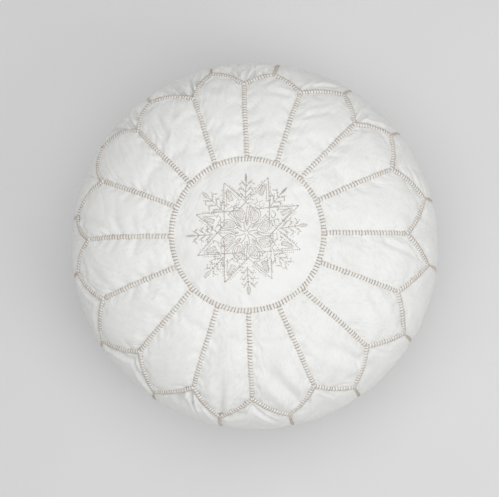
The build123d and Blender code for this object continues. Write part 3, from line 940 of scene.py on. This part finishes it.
for k in range(STAR_POINTS):
    angle = ROSETTE_TURN + k * 360 / STAR_POINTS
    loop = np.linspace(0, 2 * pi, 40)
    for grow, floss in ((1.0, FINE), (0.66, THINNEST)):
        out = 25 + 10.5 * grow * np.cos(loop)
        side = 6.6 * grow * np.sin(loop) * (1 + 0.3 * np.cos(loop))
        swirl = side + 0.10 * (out - 12) ** 1.25 * np.where(out > 12, 1, 0)
        sew_line(list(zip(out, swirl)), angle, stitch=2.6 * MM, gap=0.4 * MM, floss=floss)
    fill_out = np.linspace(19.5, 30.5, 6)
    bend = 0.10 * (fill_out - 12) ** 1.25
    satin_stitch(fills, turned(list(zip(fill_out, bend - 2.6)), angle),
                 turned(list(zip(fill_out, bend + 2.6)), angle))
    sew_line([(2, 0), (8, 1.2), (14, 0.4)], angle, stitch=2.6 * MM, gap=0.4 * MM, floss=FINE)
    for shift, floss in ((0, FINE), (3.2, THIN)):
        curl = [(9, 3.5), (15, 6.0 + shift / 2), (21, 5.0 + shift), (27, 7.5 + shift), (34, 9.5 + shift)]
        sew_line(curl, angle + 9, stitch=2.6 * MM, floss=floss)
    hook = [(36, 4), (40, 1), (38, -4), (42, -7)]
    sew_line(hook, angle + 8, stitch=2.4 * MM, floss=THIN)
    between = angle + 180 / STAR_POINTS
    for out, reach in ((33, 5.5), (38.5, 7), (44, 4.5)):
        bow = [(out, -reach), (out + 2.2, 0), (out, reach)]
        sew_line(bow, between, stitch=1.2 * MM, gap=1.3 * MM, floss=FINE)
    fill_shape(fills, [(11, 0.3), (14, 1.3), (18, 0.9), (21, 0.3)], between)
outlines.piece("medallion_embroidery_lines", embroidery_thread, "medallion_embroidery", "embroidery_thread")
fills.piece("medallion_embroidery_fills", pale_thread, "medallion_embroidery", "embroidery_thread")


# ---- Base
def base_half(side, name):
    """Half of the base, with its edge folded up into the zip's channel."""
    columns, rows = BASE_CELLS
    x = BASE_RING_RADIUS * np.sin(np.linspace(-pi / 2, pi / 2, columns + 1))
    past_end = np.clip((np.abs(x) - CHANNEL_HALF_LENGTH) / CHANNEL_FADE, 0, 1)
    inner = (CHANNEL_HALF_WIDTH + FOLD_RADIUS) * (1 - past_end) + HALF_JOIN * past_end
    rim = np.sqrt(np.clip(BASE_RING_RADIUS ** 2 - x ** 2, 0, None))
    inner = np.minimum(inner, rim)
    v = np.linspace(0, 1, rows + 1)[:, None]
    y = inner * (1 - v) + rim * v
    x = np.broadcast_to(x, y.shape)
    angle = np.arctan2(side * y, x)
    points, normal = cover(angle, under_to(np.hypot(x, y)))
    down = edge_distance(points)[2]
    held = 1 - np.exp(-np.minimum(down, down[-1:] - down) / BASE_BORDER)
    points = points - normal * (creases(BASE_CREASE, x, y, 77.0 + side) * held)[..., None]
    uv = as_rows(x / UV_UNIT + 5 * side, y / UV_UNIT)
    faces = grid_faces(rows, columns, 0, side > 0)

    long, wide, corner = CHANNEL_HALF_LENGTH, CHANNEL_HALF_WIDTH, CHANNEL_CORNER
    turn = np.linspace(0, pi / 2, 5)
    first_corner = np.stack([-long + corner * (1 - np.cos(turn)), wide - corner * (1 - np.sin(turn))], 1)
    straight = np.stack([np.linspace(-long + corner, long - corner, 60)[1:-1], np.full(58, wide)], 1)
    second_corner = first_corner[::-1] * [-1, 1]
    path = np.concatenate([[[-long, HALF_JOIN]], first_corner, straight, second_corner,
                           [[long, HALF_JOIN]]])
    tangent = np.gradient(path, axis=0)
    outward = unit(np.stack([-tangent[:, 1], tangent[:, 0]], 1))
    bend = np.linspace(0, pi / 2, 5)
    section = [(FOLD_RADIUS + 4 * MM, 0.1 * MM)]
    section += [(FOLD_RADIUS * (1 - sin(b)) + 0.2 * MM, FOLD_RADIUS * (1 - cos(b))) for b in bend]
    section += [(0.2 * MM, z) for z in np.linspace(FOLD_RADIUS * 1.5, CHANNEL_DEPTH - 0.3 * MM, 5)]
    strip = np.array([[(*(p + o * out), up) for p, o in zip(path, outward)] for out, up in section])
    strip[:, :, 1] *= side
    strip[:, :, 2] += 0.02 * MM
    count = len(points.reshape(-1, 3))
    strip_faces = grid_faces(len(section) - 1, len(path) - 1, count, side < 0)
    gone = gone_along(path) / UV_UNIT
    strip_uv = as_rows(gone[None, :], np.arange(len(section))[:, None] * 0.01)
    obj = add_object(name + "_leather", np.concatenate([points.reshape(-1, 3), strip.reshape(-1, 3)]),
                     np.concatenate([faces, strip_faces]), np.concatenate([uv, strip_uv]))
    thicken(obj)
    part_of_cover(obj, leather, name)


base_half(-1, "base_panel_front")
base_half(1, "base_panel_back")


# ---- Zip
def tape(node):
    """A woven strip with a rolled edge beside the teeth and a faint rib along its outer edge."""
    low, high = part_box(node)
    side = 1 if low.y > 0 else -1
    near, far = min(abs(low.y), abs(high.y)), max(abs(low.y), abs(high.y))
    middle, half = (low.z + high.z) / 2, (high.z - low.z) / 2
    across = np.linspace(near, far, 30)
    rolled = 0.35 * MM * np.exp(-((across - near - 0.7 * MM) / (0.5 * MM)) ** 2)
    rolled += 0.12 * MM * np.exp(-((across - far + 1.5 * MM) / (0.5 * MM)) ** 2)
    section = [(y, middle + half + r) for y, r in zip(across, rolled)]
    section += [(y, middle - half - r) for y, r in zip(across[::-1], rolled[::-1])]
    x = np.linspace(low.x, high.x, 140)
    wave = 0.08 * MM * np.sin(x / (23 * MM))
    rows = np.array([[(x[i], side * y, z + wave[i]) for y, z in section] for i in range(len(x))])
    sides = len(section)
    faces = tube_faces(len(x), sides)
    faces = (faces[:, ::-1] if side > 0 else faces).tolist()
    faces += [list(range(sides)), list(range(len(x) * sides - 1, (len(x) - 1) * sides - 1, -1))]
    obj = add_object(node + "_woven", rows.reshape(-1, 3), faces)
    part_of_cover(obj, tape_weave, node)


def dress(node, material, bevel):
    """A CAD node keeps its shape, and gets rounded edges and a material."""
    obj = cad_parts[node]
    obj.data.materials.clear()
    obj.data.materials.append(material)
    rounded = obj.modifiers.new("Rounded", "BEVEL")
    rounded.width, rounded.segments, rounded.limit_method = bevel, 2, "ANGLE"


for node in ("zip_tape_front", "zip_tape_back"):
    tape(node)
for node in ("zip_teeth_front", "zip_teeth_back", "zip_top_stops", "zip_bottom_stop"):
    dress(node, zip_plastic, 0.2 * MM)
for node in ("zip_slider", "zip_pull"):
    dress(node, nickel, 0.15 * MM)


# ---- Filling
def filling():
    """Cotton wadding, lumpy where it meets the leather, and hollowed over the zip."""
    rounds, rows = WADDING_CELLS
    angle = np.linspace(0, 2 * pi, rounds + 1)[:-1]
    length = np.linspace(POLE_GAP, LENGTH[-1] - POLE_GAP, rows)
    angle, length = np.meshgrid(angle, length)
    deep = SEAM_SINK + SHEET + WADDING_GAP
    form, normal = cover(angle, length, np.full(angle.shape, -deep))
    lump = np.array([noise.fractal(Vector(p) * LUMPS_PER_M, 1.0, 2.0, 3) for p in form.reshape(-1, 3)])
    form = form - normal * (np.clip(lump.reshape(angle.shape) + 0.6, 0, 1.6) * LUMP)[..., None]
    over_zip = (form[..., 2] < LOW_DOWN) & (np.abs(form[..., 1]) < ZIP_ROOM_REACH)
    over_zip &= np.abs(form[..., 0]) < ZIP_ROOM_HALF_LENGTH
    hollow = np.exp(-(form[..., 1] / ZIP_ROOM_HALF_WIDTH) ** 2) * over_zip
    form[..., 2] = np.maximum(form[..., 2], ZIP_ROOM * hollow)
    points = np.concatenate([form.reshape(-1, 3), [form[0].mean(0)], [form[-1].mean(0)]])
    faces = tube_faces(rows, rounds)[:, [0, 3, 2, 1]].tolist()
    top, bottom = rows * rounds, rows * rounds + 1
    last = (rows - 1) * rounds
    for i in range(rounds):
        after = (i + 1) % rounds
        faces.append([top, i, after])
        faces.append([bottom, last + after, last + i])
    obj = add_object("cotton_wadding", points, faces)
    part_of_cover(obj, wadding, "cotton_filling")


filling()


# ---- Stage
def floor():
    corners = [(-1, -1), (1, -1), (1, 1), (-1, 1)]
    obj = add_object("floor", [(x * FLOOR_SIZE, y * FLOOR_SIZE, 0) for x, y in corners], [(0, 1, 2, 3)])
    s = Shade("floor")
    place = s.object_place()
    mottle = s.clouds(place, 2.5, 3.0)
    tone = s.ramp(mottle.outputs["Fac"], [(0.3, (0.67, 0.675, 0.675)), (0.7, (0.70, 0.705, 0.705))])
    s.join(tone, "Base Color")
    s.set(Roughness=0.7)
    obj.data.materials.append(s.material)


def soft_light(name, place, aim, size, power):
    data = bpy.data.lights.new(name, "AREA")
    data.shape, data.size, data.energy = "DISK", size, power
    obj = linked(name, data)
    obj.location = place
    obj.rotation_mode = "QUATERNION"
    obj.rotation_quaternion = (Vector(aim) - Vector(place)).to_track_quat("-Z", "Y")


def studio():
    floor()
    soft_light("window", **WINDOW)
    soft_light("overhead", **OVERHEAD)
    world = bpy.data.worlds.new("studio")
    world.use_nodes = True
    sky = world.node_tree.nodes["Background"].inputs
    sky["Color"].default_value, sky["Strength"].default_value = SKY, SKY_STRENGTH
    bpy.context.scene.world = world
    bpy.context.scene.view_settings.view_transform = "Standard"


def camera():
    """Almost straight above, with +Y up in the picture."""
    azimuth, elevation = radians(CAMERA_AZIMUTH), radians(CAMERA_ELEVATION)
    back = Vector((sin(azimuth) * cos(elevation), -cos(azimuth) * cos(elevation), sin(elevation)))
    right = Vector((0, 1, 0)).cross(back).normalized()
    up = back.cross(right)
    data = bpy.data.cameras.new("camera")
    data.sensor_width = 36
    data.lens = data.sensor_width * CAMERA_DISTANCE / FIELD_ACROSS
    obj = linked("camera", data)
    obj.matrix_world = Matrix((right, up, back)).transposed().to_4x4()
    obj.location = Vector(CAMERA_AIM) + back * CAMERA_DISTANCE
    bpy.context.scene.camera = obj


studio()
camera()
